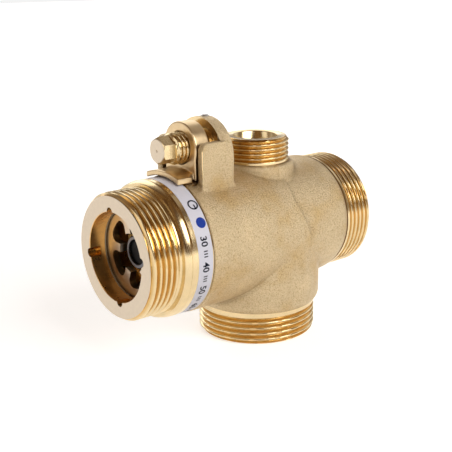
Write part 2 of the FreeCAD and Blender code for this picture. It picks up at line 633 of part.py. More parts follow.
def seat_ring(x):
    return ring_section(CART_BORE_D - 2 * FIT, SEAT_RING_SECTION, x)


def cold_seat_ring():
    shape = tube_x(CART_BORE_D - 2 * FIT, COLD_SEAT_BORE_D, COLD_SEAT_X - COLD_SEAT_T, COLD_SEAT_X)
    return shape.cut(seat_ring_groove(COLD_SEAT_X - SEAT_RING_AT))


def seat_circlip():
    """Snap ring sprung into its groove, open at the top."""
    outer = CART_BORE_D + 2 * CIRCLIP_H - 2 * FIT
    ring = tube_x(outer, outer - 2 * CIRCLIP_W, CIRCLIP_X, CIRCLIP_X + CIRCLIP_T)
    half = CIRCLIP_OPEN / 2
    return ring.cut(box(CIRCLIP_X - 1, CIRCLIP_X + CIRCLIP_T + 1, -half, half, 0, outer))


def hot_seat_cage():
    """Ring that guides the shuttle, the hot seat on three arms, and legs that reach the cold seat."""
    outer = CART_BORE_D - 2 * FIT
    end = SHOULDER_X - REST
    shape = tube_x(outer, CAGE_BORE_D, CAGE_X0, end)
    shape = shape.fuse(arms(3, ARM3_W, 0, CAGE_BORE_D / 2 + 0.5, HOT_SEAT_X, end))
    shape = shape.fuse(cyl_x(HOT_SEAT_D, HOT_SEAT_X, end))
    legs = arms(3, CAGE_LEG_W, 0, CART_BORE_D, COLD_SEAT_X + REST, CAGE_X0 + 1)
    shape = shape.fuse(legs.common(tube_x(outer, CAGE_BORE_D + 1, COLD_SEAT_X, CAGE_X0 + 1)))
    return shape.cut(seat_ring_groove(SHOULDER_X - CAGE_RING_AT)).removeSplitter()


def shuttle():
    """Tube valve between the two seats, with a hub on three arms that the capsule's pin pushes."""
    wall_x1 = SHUTTLE_X1 - SHUTTLE_LIP_T
    bore = SHUTTLE_D - 2 * SHUTTLE_WALL
    shape = tube_x(SHUTTLE_D, bore, SHUTTLE_X0, wall_x1)
    shape = shape.fuse(tube_x(SHUTTLE_D - 1, SHUTTLE_LIP_D, wall_x1 - SHUTTLE_END_T, wall_x1))
    lip = tube_x(SHUTTLE_LIP_D + 2 * SHUTTLE_LIP_W, SHUTTLE_LIP_D, wall_x1 - 0.5, SHUTTLE_X1)
    shape = shape.fuse(lip)
    shape = shape.fuse(arms(3, ARM3_W, 0, bore / 2 + 0.3, HUB_X0, HUB_X1, HUB_TURN))
    shape = shape.fuse(cyl_x(HUB_D, HUB_X0, HUB_X1))
    shape = shape.cut(cyl_x(CAPSULE_PIN_D + 2 * FIT, HUB_X0 - 1, HUB_X0 + HUB_SOCKET))
    half = SHUTTLE_RING_SECTION / 2 + FIT
    inner = SHUTTLE_D - 2 * (SHUTTLE_RING_SECTION - SLIDE / 2 + FIT)
    middle = SHUTTLE_X0 + SHUTTLE_RING_AT
    shape = shape.cut(tube_x(SHUTTLE_D + 2, inner, middle - half, middle + half))
    return shape.removeSplitter()


def shuttle_o_ring():
    return ring_section(SHUTTLE_D + SLIDE, SHUTTLE_RING_SECTION, SHUTTLE_X0 + SHUTTLE_RING_AT)


def return_spring():
    return coil(SPRING_D, SPRING_WIRE, SPRING_TURNS, HUB_X1 + REST, HOT_SEAT_X - REST)


# ---- writing ----------------------------------------------------------------------------------
def main():
    os.makedirs("parts", exist_ok=True)
    save("valve_body", valve_body())
    save("outlet_sleeve", outlet_sleeve())
    save("outlet_spider", outlet_spider())
    save("spider_snap_ring", spider_snap_ring())
    save("label_band", label_band())
    save("body_gasket", body_gasket())
    save("adjusting_screw", adjusting_screw())
    save("screw_retaining_pin", screw_retaining_pin())
    save("adjusting_carrier", adjusting_carrier())
    save("setting_sleeve", setting_sleeve())
    save("outer_sleeve_o_ring", sleeve_ring(OUTER_RING_X))
    save("inner_sleeve_o_ring", sleeve_ring(INNER_RING_X))
    save("barrel_cap", barrel_cap())
    save("cap_ring", cap_ring())
    save("overtravel_spring", overtravel_spring())
    save("overtravel_plunger", overtravel_plunger())
    save("wax_capsule", wax_capsule())
    save("capsule_pin", capsule_pin())
    save("cold_seat_ring", cold_seat_ring())
    save("cold_seat_o_ring", seat_ring(COLD_SEAT_X - SEAT_RING_AT))
    save("seat_circlip", seat_circlip())
    save("shuttle", shuttle())
    save("shuttle_o_ring", shuttle_o_ring())
    save("return_spring", return_spring())
    save("hot_seat_cage", hot_seat_cage())
    save("cage_o_ring", seat_ring(SHOULDER_X - CAGE_RING_AT))


main()
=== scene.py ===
import json
import math

import bmesh
import bpy
import numpy as np
import openvdb
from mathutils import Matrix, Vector


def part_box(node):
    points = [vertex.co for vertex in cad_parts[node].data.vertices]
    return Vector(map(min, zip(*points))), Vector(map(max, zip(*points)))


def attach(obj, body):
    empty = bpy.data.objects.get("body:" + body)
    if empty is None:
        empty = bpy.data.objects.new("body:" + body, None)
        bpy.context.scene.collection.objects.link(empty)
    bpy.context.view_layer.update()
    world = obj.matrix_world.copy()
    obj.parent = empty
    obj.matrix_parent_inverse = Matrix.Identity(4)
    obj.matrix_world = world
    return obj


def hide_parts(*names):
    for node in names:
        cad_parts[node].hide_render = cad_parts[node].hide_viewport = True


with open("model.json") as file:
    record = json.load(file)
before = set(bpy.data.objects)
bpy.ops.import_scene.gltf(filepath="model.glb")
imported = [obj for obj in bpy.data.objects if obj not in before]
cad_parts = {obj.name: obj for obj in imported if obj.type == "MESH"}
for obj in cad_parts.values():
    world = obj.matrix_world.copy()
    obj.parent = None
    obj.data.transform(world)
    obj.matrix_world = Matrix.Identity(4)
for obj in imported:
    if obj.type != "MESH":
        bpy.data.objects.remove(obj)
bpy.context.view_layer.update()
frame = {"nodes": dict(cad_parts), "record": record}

# Lengths are in millimetres about the barrel's axis, as in the part's source: X along the barrel, from the
# mixed outlet to the hot inlet, Z up.  MM and LIFT take them into the frame.
MM = 0.001
MOUNTS = {m["name"]: m for m in frame["record"]["mounts"]}
LIFT = MOUNTS["hot_inlet_port"]["pos_m"][2] / MM


def node_box(name):
    """Lowest and highest corners of a CAD node, in millimetres about the barrel's axis."""
    low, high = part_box(name)
    shift = Vector((0, 0, LIFT))
    return Vector(low) / MM - shift, Vector(high) / MM - shift


# ---- sizes ------------------------------------------------------------------------------------
BODY_LOW, BODY_HIGH = node_box("valve_body")
SLEEVE_LOW, SLEEVE_HIGH = node_box("outlet_sleeve")
SCREW_LOW, SCREW_HIGH = node_box("adjusting_screw")
CARRIER_LOW, CARRIER_HIGH = node_box("adjusting_carrier")
LABEL_LOW, LABEL_HIGH = node_box("label_band")
SPIDER_LOW = node_box("outlet_spider")[0]

PORT_R = MOUNTS["hot_inlet_port"]["dims"]["r_mm"]
TOP_R = MOUNTS["recirculation_port"]["dims"]["r_mm"]
TOP_X = MOUNTS["recirculation_port"]["pos_m"][0] / MM
HOT_FACE = BODY_HIGH.x
OUT_FACE = SLEEVE_LOW.x
COLD_FACE = BODY_LOW.z
TOP_FACE = 36.8
BARREL_R = BODY_HIGH.y
SCREW_Z = (SCREW_LOW.z + SCREW_HIGH.z) / 2

PITCH = 2.309           # G 1 1/2, 11 threads to the inch
TOP_PITCH = 1.814       # G 3/4, 14 threads to the inch
SCREW_PITCH = 1.75      # M12
WHITWORTH = 0.6403      # depth over pitch of a pipe thread
SCREW_DEPTH = 0.61      # the same for the screw's metric thread
THREAD_CHAMFER = 1.2

BARREL_X0 = -43.0
BARREL_X1 = 0.6
BARREL_SWEEP = 5.2      # how much farther the barrel's end reaches at half height than on top
BARREL_SWEEP_Z = 13.5
INLET_R = 24.8
CAST_X1 = 29.2          # end of the casting beside the hot inlet's thread
BRANCH_R = 25.7
BRANCH_Z0 = -30.2       # end of the casting beside the cold inlet's thread
DOME_H = 22.4
CREASE_R = 0.45
PAD_R = 15.3
PAD_Z = 26.9
YOKE_R = 14.2
YOKE_Z = 32.9
PLATE_X0 = -28.9
PLATE_X1 = -22.9
MACHINING = 1.2         # metal taken off the plate's front face
ARM_T = 3.1
ARM_X0 = -38.6
ARM_TOP = 39.8
ARM_CORNER = 3.4

CART_BORE_R = 20.3
SHOULDER_X = 7.0
HOT_BORE_R = 18.0
COLD_BORE_R = 18.0
BRANCH_ROOF = -23.0
SPIGOT_R = 23.4
SPIGOT_X0 = BODY_LOW.x
COLD_X0, COLD_X1, COLD_R = -10.0, -4.5, 21.8
TOP_BORE_R = 8.7
TOP_BORE_Z = 22.8

TONGUE_SLOT_X0, TONGUE_SLOT_X1, TONGUE_SLOT_HALF = -41.1, -33.1, 4.3
TOP_DRILL_R = 1.8       # from the top port into the cold chamber
JOURNAL_HOLE_R = 4.15
PIN_HOLE_R = 1.55

OUT_BORE_R = 16.7
COLLAR_R = 26.1
COLLAR_X0 = -55.4
POCKET_X0 = -52.2       # pocket that goes over the spigot
SMALL_BORE_R = 15.2
SMALL_BORE_X0 = -58.2
OUTLET_NECK = 0.9
SNAP_GROOVE_DEPTH, SNAP_GROOVE_W = 0.6, 0.9
LABEL_SEAT = 0.2
NOTCH_R, NOTCH_L = 1.75, 4.6
NOTCH_TURN = -7.0       # degrees from +Y

THREAD_R = 6.0          # the screw's major radius
THREAD_END_R = 5.2
JOURNAL_R, GROOVE_R = 4.0, 2.6
SCREW_SHOULDER_X = -29.0
GROOVE_X0, GROOVE_X1 = -27.7, -24.1
HEX_L = 5.4
HEX_FLAT_R = 4.5
HEX_CROWN = 0.25        # how far inside the flats the crown's chamfer starts
PIP_R = 0.5

BOSS_X0 = -38.0
BOSS_R = 9.8
WEB_HALF = 9.2
WEB_Z, WEB_HALF_H = 30.0, 7.5
FOOT_R0, FOOT_R1 = 26.7, 28.8
FOOT_HALF, FOOT_L = 9.8, 6.6
NECK_HALF = 8.2
TONGUE_CENTRE, TONGUE_HALF = (-37.1, 0, 23.2), (1.5, 4.0, 5.0)
CARRIER_HOLE_R = 6.3

# Roundings and slopes of the casting and the carrier.
BARREL_EDGE_R = 0.4
BARREL_STEP_R = 0.3
INLET_TAPER_L, INLET_SLOPE, INLET_EDGE_R = 2.4, 0.55, 1.2
SKIRT_H, SKIRT_SLOPE, SKIRT_EDGE_R = 1.7, 0.8, 1.0
CUT_EDGE_R = 0.4
PAD_EDGE_R = 1.6
PLATE_EDGE_R = 1.6
ARM_EDGE_R = 0.45
ARM_CORNER_EDGE_R = 0.7
YOKE_FILLET_R = 0.8
YOKE_FOOT_R = 1.5
CARRIER_EDGE_R = 0.5

MOUTH_L = 0.6           # turned mouth ring, which takes over from the casting here
MOUTH_CHAMFER = 0.4
TRACK_DEPTH = 0.6       # flat track milled on top of the barrel between the arms
SLIDEWAY_Z = 20.0

CASTING_GRID = 0.5
CARRIER_GRID = 0.22
ON_FACE = 0.02          # a face whose centre is this near a port's face is part of it
CAST_SKIN = 0.12        # farther than this from the casting's own surface, a face is machined
PAST = 2.0              # how far a cutter goes past what it cuts
WIDE = BARREL_R + 20.0  # half width of the blocks that cut the casting's ends
PRINT_LIFT = 0.03
DOT_LIFT = 0.02

# Marks on the label; turns are in degrees from +Y over the top.
DOT_X, DOT_TURN, DOT_R = -46.0, 148.4, 2.05
DIAL_TURN, DIAL_R, DIAL_LINE, POINTER_L = 132.3, 2.1, 0.6, 1.9
SCALE_TURN, SCALE_STEP = 159.0, 10.5
NUMBER_H = 3.9
INK_SPREAD = 0.09       # how much bolder than the font the numbers are
TEXT_EDGE = 0.5         # longer edges of a number are divided, so that it bends round the label
TICK_W, TICK_H, TICK_STEP = 0.42, 1.7, 2.2


# ---- meshes -----------------------------------------------------------------------------------
def add_object(name, verts, faces, sharp=38.0):
    """Object from vertices in millimetres about the barrel's axis, smooth but for its sharp edges."""
    points = (np.asarray(verts, dtype=np.float64) + (0, 0, LIFT)) * MM
    mesh = bpy.data.meshes.new(name)
    mesh.from_pydata(points.tolist(), [], [list(map(int, f)) for f in faces])
    mesh.validate()
    mesh.shade_smooth()
    mesh.set_sharp_from_angle(angle=math.radians(sharp))
    piece = bpy.data.objects.new(name, mesh)
    bpy.context.scene.collection.objects.link(piece)
    return piece


def place(axis, along, radius, angle, centre):
    """Points of a turned shape: centre is (y, z) about X, or (x, y) about Z."""
    across = radius * np.cos(angle)
    up = radius * np.sin(angle)
    if axis == "X":
        return np.stack([along, centre[0] + across, centre[1] + up], -1)
    return np.stack([centre[0] + across, centre[1] + up, along], -1)


def turned(name, rows, axis="X", centre=(0.0, 0.0), segments=192, closed=True, sharp=38.0):
    """Turned piece.  A row is (along, radius), where radius is a number or one value for each segment."""
    angle = np.arange(segments) * 2 * math.pi / segments
    verts = []
    for along, radius in rows:
        ring = np.broadcast_to(np.asarray(radius, dtype=np.float64), angle.shape)
        verts.append(place(axis, np.full(segments, float(along)), ring, angle, centre))
    verts = np.concatenate(verts)
    count = len(rows)
    faces = []
    for i in range(count if closed else count - 1):
        low = i * segments
        high = (i + 1) % count * segments
        for j in range(segments):
            k = (j + 1) % segments
            faces.append((low + j, low + k, high + k, high + j))
    piece = add_object(name, verts, faces, sharp)
    mend_normals(piece)
    return piece


def mend_normals(piece):
    """Drops faces without area and turns every face outward."""
    work = bmesh.new()
    work.from_mesh(piece.data)
    bmesh.ops.dissolve_degenerate(work, dist=1e-7, edges=work.edges)
    bmesh.ops.recalc_face_normals(work, faces=work.faces)
    work.to_mesh(piece.data)
    work.free()


def thread_rows(x0, x1, major, pitch, depth, fade0=0.0, fade1=0.0, segments=192, steps=14):
    """Rows of a right-hand thread from x0 to x1.  fade0 and fade1 are run-out lengths at its ends."""
    angle = np.arange(segments) / segments
    rows = []
    count = max(2, int(round((x1 - x0) / pitch * steps)))
    for i in range(count + 1):
        x = x0 + (x1 - x0) * i / count
        phase = (x / pitch - angle) % 1.0
        flank = np.clip((1 - np.abs(2 * phase - 1) - 1 / 6) * 1.5, 0, 1)
        crest = flank * flank * (3 - 2 * flank) * 0.55 + flank * 0.45
        near = 1.0
        if fade0 > 0:
            near = min(near, (x - x0) / fade0)
        if fade1 > 0:
            near = min(near, (x1 - x) / fade1)
        near = near * near * (3 - 2 * near)
        rows.append((x, major - depth * (1 - crest) * near))
    return rows


def chamfered(rows, face, major, chamfer, outward):
    """Thread rows cut back to the cone of the end chamfer; outward is the sign of the port's direction."""
    cut = []
    for x, radius in rows:
        limit = major - chamfer + (face - x) * outward
        cut.append((x, np.minimum(radius, limit)))
    return cut


def cut(piece, tools):
    """Takes each tool away from a piece, and then removes the tool."""
    for tool in tools:
        modifier = piece.modifiers.new("cut", "BOOLEAN")
        modifier.solver = "MANIFOLD"
        modifier.operation = "DIFFERENCE"
        modifier.object = tool
        bpy.context.view_layer.update()
        result = bpy.data.meshes.new_from_object(piece.evaluated_get(bpy.context.evaluated_depsgraph_get()))
        piece.modifiers.clear()
        piece.data = result
        bpy.data.objects.remove(tool)
    piece.data.shade_smooth()
    piece.data.set_sharp_from_angle(angle=math.radians(38))


def drum(along0, along1, radius, axis="X", centre=(0.0, 0.0), segments=128):
    """Plain cylinder for cutting."""
    angle = np.arange(segments) * 2 * math.pi / segments
    low = place(axis, np.full(segments, float(along0)), np.full(segments, float(radius)), angle, centre)
    high = place(axis, np.full(segments, float(along1)), np.full(segments, float(radius)), angle, centre)
    faces = [tuple(range(segments)), tuple(range(segments, 2 * segments))]
    for j in range(segments):
        k = (j + 1) % segments
        faces.append((j, k, segments + k, segments + j))
    piece = add_object("drum", np.concatenate([low, high]), faces)
    mend_normals(piece)
    return piece


def block(x0, x1, y0, y1, z0, z1):
    """Plain box for cutting."""
    verts = [(x, y, z) for x in (x0, x1) for y in (y0, y1) for z in (z0, z1)]
    faces = [(0, 1, 3, 2), (4, 6, 7, 5), (0, 4, 5, 1), (2, 3, 7, 6), (0, 2, 6, 4), (1, 5, 7, 3)]
    piece = add_object("block", verts, faces)
    mend_normals(piece)
    return piece


# ---- distance fields --------------------------------------------------------------------------
def join(a, b, radius):
    """Union of two fields with a fillet in the crease between them."""
    h = np.maximum(radius - np.abs(a - b), 0) / radius
    return np.minimum(a, b) - h * h * radius / 4


def meet(a, b, radius):
    """Intersection of two fields with a rounded edge."""
    return -join(-a, -b, radius)


def box_field(p, centre, half, radius):
    """Box with rounded edges."""
    q = np.abs(p - np.asarray(centre)) - (np.asarray(half) - radius)
    outside = np.linalg.norm(np.maximum(q, 0), axis=-1)
    return outside + np.minimum(q.max(axis=-1), 0) - radius


def field_mesh(name, field, low, high, step):
    """Piece whose surface is where the field is zero."""
    low = np.asarray(low, dtype=np.float64)
    count = np.ceil((np.asarray(high) - low) / step).astype(int) + 1
    axes = [low[i] + np.arange(count[i]) * step for i in range(3)]
    points = np.stack(np.meshgrid(*axes, indexing="ij"), -1)
    values = field(points).astype(np.float32)
    grid = openvdb.FloatGrid(background=float(3 * step))
    grid.copyFromArray(np.clip(values, -3 * step, 3 * step))
    points, quads = grid.convertToQuads(isovalue=0.0)
    piece = add_object(name, points * step + low, quads[:, ::-1], sharp=180)
    mend_normals(piece)
    return piece


def casting_field(p):
    """Outside of the cast body, without its machined ports."""
    x, y, z = p[..., 0], p[..., 1], p[..., 2]
    about_x = np.hypot(y, z)
    about_z = np.hypot(x, y)
    end = BARREL_X1 + BARREL_SWEEP * np.clip((BARREL_SWEEP_Z - z) / BARREL_SWEEP_Z, 0, 1)
    barrel = meet(about_x - BARREL_R, np.maximum(BARREL_X0 - 4 - x, (x - end) * 0.93), BARREL_EDGE_R)
    cone = (about_x - INLET_R + (x - (CAST_X1 - INLET_TAPER_L)) * INLET_SLOPE) * 0.87
    ends = np.abs(x - 8) - (CAST_X1 - 8 + 1)
    inlet = meet(meet(about_x - INLET_R, cone, INLET_EDGE_R), ends, CUT_EDGE_R)
    body = join(barrel, inlet, BARREL_STEP_R)
    skirt = (about_z - BRANCH_R + ((BRANCH_Z0 + SKIRT_H) - z) * SKIRT_SLOPE) * 0.78
    dome = (np.sqrt(about_z ** 2 + (np.maximum(z, 0) * BRANCH_R / DOME_H) ** 2) - BRANCH_R)
    branch = meet(meet(dome, skirt, SKIRT_EDGE_R), BRANCH_Z0 - 1 - z, CUT_EDGE_R)
    body = join(body, branch, CREASE_R)
    about_top = np.hypot(x - TOP_X, y)
    pad = meet(about_top - PAD_R, np.maximum(z - PAD_Z, -z), PAD_EDGE_R)
    body = join(body, pad, CREASE_R)
    arch = np.where(z > YOKE_Z, np.hypot(y, z - YOKE_Z), np.abs(y)) - YOKE_R
    rough_x0 = PLATE_X0 - MACHINING
    faces = np.abs(x - (rough_x0 + PLATE_X1) / 2) - (PLATE_X1 - rough_x0) / 2
    plate = meet(meet(arch, faces, PLATE_EDGE_R), -z, CUT_EDGE_R)
    arm_middle = ((ARM_X0 + PLATE_X0 + 2) / 2, YOKE_R - ARM_T / 2, ARM_TOP / 2)
    arm_half = ((PLATE_X0 + 2 - ARM_X0) / 2, ARM_T / 2, ARM_TOP / 2)
    mirrored = np.stack([x, np.abs(y), z], -1)
    arms = box_field(mirrored, arm_middle, arm_half, ARM_EDGE_R)
    before = np.minimum(x - (ARM_X0 + ARM_CORNER), 0)
    above = np.maximum(z - (ARM_TOP - ARM_CORNER), 0)
    arms = meet(arms, np.hypot(before, above) - ARM_CORNER, ARM_CORNER_EDGE_R)
    yoke = join(plate, arms, YOKE_FILLET_R)
    return join(body, yoke, YOKE_FOOT_R)


# ---- materials --------------------------------------------------------------------------------
CAST_COLOUR = (0.80, 0.65, 0.41)
BRASS_COLOUR = (0.79, 0.625, 0.36)
FACED_COLOUR = (0.67, 0.57, 0.44)
# Painted shade for the roots of threads.
VALLEY_SHADE = (0.84, 0.64, 0.33)
WHITE = (1.0, 1.0, 1.0)


def new_material(name, colour, metallic, roughness):
    """Material, its node tree and its shader."""
    material = bpy.data.materials.new(name)
    material.use_nodes = True
    shader = material.node_tree.nodes["Principled BSDF"]
    shader.inputs["Base Color"].default_value = (*colour, 1)
    shader.inputs["Metallic"].default_value = metallic
    shader.inputs["Roughness"].default_value = roughness
    return material, material.node_tree, shader


def add_node(tree, kind, **values):
    """Shader node with its inputs or settings given by name."""
    node = tree.nodes.new(kind)
    for key, value in values.items():
        if key in node.inputs:
            node.inputs[key].default_value = value
        else:
            setattr(node, key, value)
    return node


def noise(tree, scale, detail=4.0, roughness=0.55, stretch=(1, 1, 1)):
    """Noise in the object's own coordinates; scale is in features per metre."""
    place_node = add_node(tree, "ShaderNodeTexCoord")
    mapping = add_node(tree, "ShaderNodeMapping")
    mapping.inputs["Scale"].default_value = stretch
    tree.links.new(place_node.outputs["Object"], mapping.inputs["Vector"])
    texture = add_node(tree, "ShaderNodeTexNoise", Scale=scale, Detail=detail, Roughness=roughness)
    tree.links.new(mapping.outputs["Vector"], texture.inputs["Vector"])
    return texture.outputs["Fac"]


def ramp(tree, source, stops):
    """Colour ramp from a value; stops are (position, colour)."""
    node = tree.nodes.new("ShaderNodeValToRGB")
    elements = node.color_ramp.elements
    while len(elements) < len(stops):
        elements.new(0.5)
    for element, (position, colour) in zip(elements, stops):
        element.position = position
        element.color = (*colour, 1) if len(colour) == 3 else colour
    tree.links.new(source, node.inputs["Fac"])
    return node.outputs["Color"]


def span(tree, source, low, high):
    """Value from 0..1 to low..high."""
    node = add_node(tree, "ShaderNodeMapRange")
    node.inputs["To Min"].default_value = low
    node.inputs["To Max"].default_value = high
    tree.links.new(source, node.inputs["Value"])
    return node.outputs["Result"]


def bump(tree, shader, layers):
    """Bump from several heights; a layer is (height, distance in metres, strength)."""
    previous = None
    for height, distance, strength in layers:
        node = add_node(tree, "ShaderNodeBump")
        node.inputs["Strength"].default_value = strength
        node.inputs["Distance"].default_value = distance
        tree.links.new(height, node.inputs["Height"])
        if previous is not None:
            tree.links.new(previous, node.inputs["Normal"])
        previous = node.outputs["Normal"]
    tree.links.new(previous, shader.inputs["Normal"])


def from_axis(tree, axis, centre, low, high):
    """0 to 1 as the distance from a turned piece's axis goes from low to high, in millimetres."""
    place_node = add_node(tree, "ShaderNodeTexCoord")
    flat = add_node(tree, "ShaderNodeMapping")
    shift = {"X": (0, 0, -LIFT), "Z": (-centre, 0, 0)}[axis]
    flat.inputs["Location"].default_value = tuple(v * MM for v in shift)
    tree.links.new(place_node.outputs["Object"], flat.inputs["Vector"])
    across = add_node(tree, "ShaderNodeVectorMath", operation="MULTIPLY")
    across.inputs[1].default_value = (0, 1, 1) if axis == "X" else (1, 1, 0)
    tree.links.new(flat.outputs["Vector"], across.inputs[0])
    length = add_node(tree, "ShaderNodeVectorMath", operation="LENGTH")
    tree.links.new(across.outputs["Vector"], length.inputs[0])
    level = add_node(tree, "ShaderNodeMapRange")
    level.inputs["From Min"].default_value = low * MM
    level.inputs["From Max"].default_value = high * MM
    tree.links.new(length.outputs["Value"], level.inputs["Value"])
    return level.outputs["Result"]


def hollow(tree, distance, inside=False):
    """1 on open surface, falling toward 0 in a crease, or on an edge when inside is set."""
    node = add_node(tree, "ShaderNodeAmbientOcclusion", samples=8, inside=inside)
    node.inputs["Distance"].default_value = distance
    return node.outputs["AO"]


def multiply(tree, colour, tone, factor=1.0):
    """Colour darkened by a tone."""
    blend = add_node(tree, "ShaderNodeMix", data_type="RGBA", blend_type="MULTIPLY")
    blend.inputs["Factor"].default_value = factor
    tree.links.new(colour, blend.inputs["A"])
    tree.links.new(tone, blend.inputs["B"])
    return blend.outputs["Result"]


def cast_brass():
    """Shot-blasted casting: matt, grainy, uneven in colour; painted shade in creases, lighter edges for wear
    and painted highlight.
    """
    material, tree, shader = new_material("cast_brass", CAST_COLOUR, 0.88, 0.42)
    patches = noise(tree, 70, 5)
    low = tuple(c * t for c, t in zip(CAST_COLOUR, (0.92, 0.82, 0.64)))
    high = tuple(min(1, c * 1.14) for c in CAST_COLOUR)
    colour = ramp(tree, patches, [(0.3, low), (0.5, CAST_COLOUR), (0.75, high)])
    speckle = ramp(tree, noise(tree, 2400, 4),
                   [(0.36, (0.44, 0.32, 0.17)), (0.50, (0.90, 0.88, 0.84)), (0.66, WHITE)])
    colour = multiply(tree, colour, speckle, 0.6)
    # Painted shade: ambient occlusion darkens the colour in creases, where shade falls.
    crease = ramp(tree, hollow(tree, 0.003), [(0.55, (0.26, 0.17, 0.08)), (0.95, WHITE)])
    colour = multiply(tree, colour, crease)
    # Rubbed wear and painted highlight: inside ambient occlusion keeps edges at full colour and darkens flat
    # faces a little.
    wear_and_edge_highlight = ramp(tree, hollow(tree, 0.0012, True), [(0.05, WHITE), (0.5, (0.86, 0.86, 0.86))])
    colour = multiply(tree, colour, wear_and_edge_highlight)
    tree.links.new(colour, shader.inputs["Base Color"])
    grain = noise(tree, 2600, 3)
    coarse = noise(tree, 1300, 4)
    tree.links.new(span(tree, coarse, 0.34, 0.50), shader.inputs["Roughness"])
    bump(tree, shader, [(coarse, 0.0005, 0.8), (grain, 0.0002, 0.9)])
    return material


def turned_brass(name, axis="X", centre=0.0, valley_shade_span=None, rough=(0.14, 0.26)):
    """Bright lathe-turned brass with fine rings; the valley span is the radius span over which painted shade
    darkens a thread toward its root.
    """
    material, tree, shader = new_material(name, BRASS_COLOUR, 1.0, sum(rough) / 2)
    dark = tuple(c * 0.9 for c in BRASS_COLOUR)
    colour = ramp(tree, noise(tree, 160, 4), [(0.35, dark), (0.65, BRASS_COLOUR)])
    if valley_shade_span:
        # Painted shade: the colour darkens toward a thread's root, standing for the dark reflections in its
        # valleys.
        tone = ramp(tree, from_axis(tree, axis, centre, *valley_shade_span), [(0.0, VALLEY_SHADE), (0.85, WHITE)])
        colour = multiply(tree, colour, tone)
    tree.links.new(colour, shader.inputs["Base Color"])
    stretch = (1, 0.02, 0.02) if axis == "X" else (0.02, 0.02, 1)
    rings = noise(tree, 4200, 2, 0.5, stretch)
    tree.links.new(span(tree, rings, *rough), shader.inputs["Roughness"])
    bump(tree, shader, [(rings, 0.00003, 0.5)])
    return material


def plain(name, colour, metallic, rough, scale, depth, dark=0.8, gloss=0.5):
    """Base for the small pieces: uneven colour and roughness over a fine bump."""
    material, tree, shader = new_material(name, colour, metallic, sum(rough) / 2)
    shader.inputs["Specular IOR Level"].default_value = gloss
    patches = noise(tree, scale, 4)
    shade = tuple(c * dark for c in colour)
    tree.links.new(ramp(tree, patches, [(0.35, shade), (0.7, colour)]), shader.inputs["Base Color"])
    tree.links.new(span(tree, patches, *rough), shader.inputs["Roughness"])
    bump(tree, shader, [(noise(tree, scale * 6, 3), depth, 0.6)])
    return material


MATERIALS = {
    "cast": cast_brass(),
    "turned_x": turned_brass("turned_brass_x"),
    "faced": plain("faced_brass", FACED_COLOUR, 1.0, (0.26, 0.36), 700, 0.00002, 0.94),
    "port_x": turned_brass("port_brass_x", valley_shade_span=(PORT_R - WHITWORTH * PITCH, PORT_R)),
    "port_z": turned_brass("port_brass_z", "Z", valley_shade_span=(PORT_R - WHITWORTH * PITCH, PORT_R)),
    "top_z": turned_brass("top_brass_z", "Z", TOP_X, (TOP_R - WHITWORTH * TOP_PITCH, TOP_R)),
    # Painted shade: a darker, more orange copy of the turned brass for the inside of the outlet's bore.
    "bore": plain("bore_brass_painted_shade", (0.86, 0.53, 0.19), 1.0, (0.22, 0.36), 300, 0.00002),
    "carrier": plain("carrier_brass", (0.77, 0.59, 0.35), 1.0, (0.27, 0.40), 240, 0.00003, 0.86),
    "film": plain("label_film", (0.70, 0.71, 0.80), 0.0, (0.32, 0.42), 300, 0.00001, 0.97),
    "blue": plain("label_blue", (0.018, 0.055, 0.36), 0.0, (0.5, 0.6), 300, 0.00001, 0.9, gloss=0.1),
    "ink": plain("label_ink", (0.012, 0.015, 0.03), 0.0, (0.5, 0.6), 300, 0.00001, 0.9, gloss=0.1),
    "steel": plain("steel", (0.62, 0.62, 0.62), 1.0, (0.22, 0.38), 400, 0.00002),
    # Painted shade: the cap ring's steel is painted far darker than plain steel, as it sits deep in the
    # outlet's bore.
    "cap_steel_painted_shade": plain("cap_steel_painted_shade", (0.24, 0.24, 0.26), 1.0, (0.3, 0.4), 400, 0.00002),
    "spring": plain("spring_steel", (0.26, 0.21, 0.14), 1.0, (0.3, 0.5), 500, 0.00002),
    "rubber": plain("rubber", (0.02, 0.02, 0.02), 0.0, (0.5, 0.7), 500, 0.00003),
    "black": plain("black_plastic", (0.006, 0.006, 0.007), 0.0, (0.25, 0.4), 500, 0.00002, gloss=0.15),
    "copper": plain("copper_alloy", (0.72, 0.42, 0.24), 1.0, (0.2, 0.4), 300, 0.00002),
}

NODE_MATERIALS = {
    "outlet_spider": "faced", "spider_snap_ring": "spring", "label_band": "film", "body_gasket": "rubber",
    "screw_retaining_pin": "steel", "adjusting_carrier": "carrier", "setting_sleeve": "turned_x",
    "outer_sleeve_o_ring": "rubber", "inner_sleeve_o_ring": "rubber", "barrel_cap": "black",
    "cap_ring": "cap_steel_painted_shade", "overtravel_spring": "spring", "overtravel_plunger": "turned_x",
    "wax_capsule": "copper", "capsule_pin": "steel", "cold_seat_ring": "black",
    "cold_seat_o_ring": "rubber", "seat_circlip": "spring", "shuttle": "black",
    "shuttle_o_ring": "rubber", "return_spring": "spring", "hot_seat_cage": "black", "cage_o_ring": "rubber",
    "valve_body": "cast", "outlet_sleeve": "turned_x", "adjusting_screw": "turned_x",
}


def paint(piece, *names):
    """Gives a piece its materials; every face has the first until paint_by chooses."""
    piece.data.materials.clear()
    for name in names:
        piece.data.materials.append(MATERIALS[name])


def paint_by(piece, choose):
    """Gives each face the material index that choose returns for its centre, in millimetres."""
    mesh = piece.data
    centres = np.empty(len(mesh.polygons) * 3)
    mesh.polygons.foreach_get("center", centres)
    centres = centres.reshape(-1, 3) / MM - (0, 0, LIFT)
    mesh.polygons.foreach_set("material_index", choose(centres).astype(np.int32))


def dress(piece, body, nodes):
    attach(piece, body)
    for node in nodes:
        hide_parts(node)


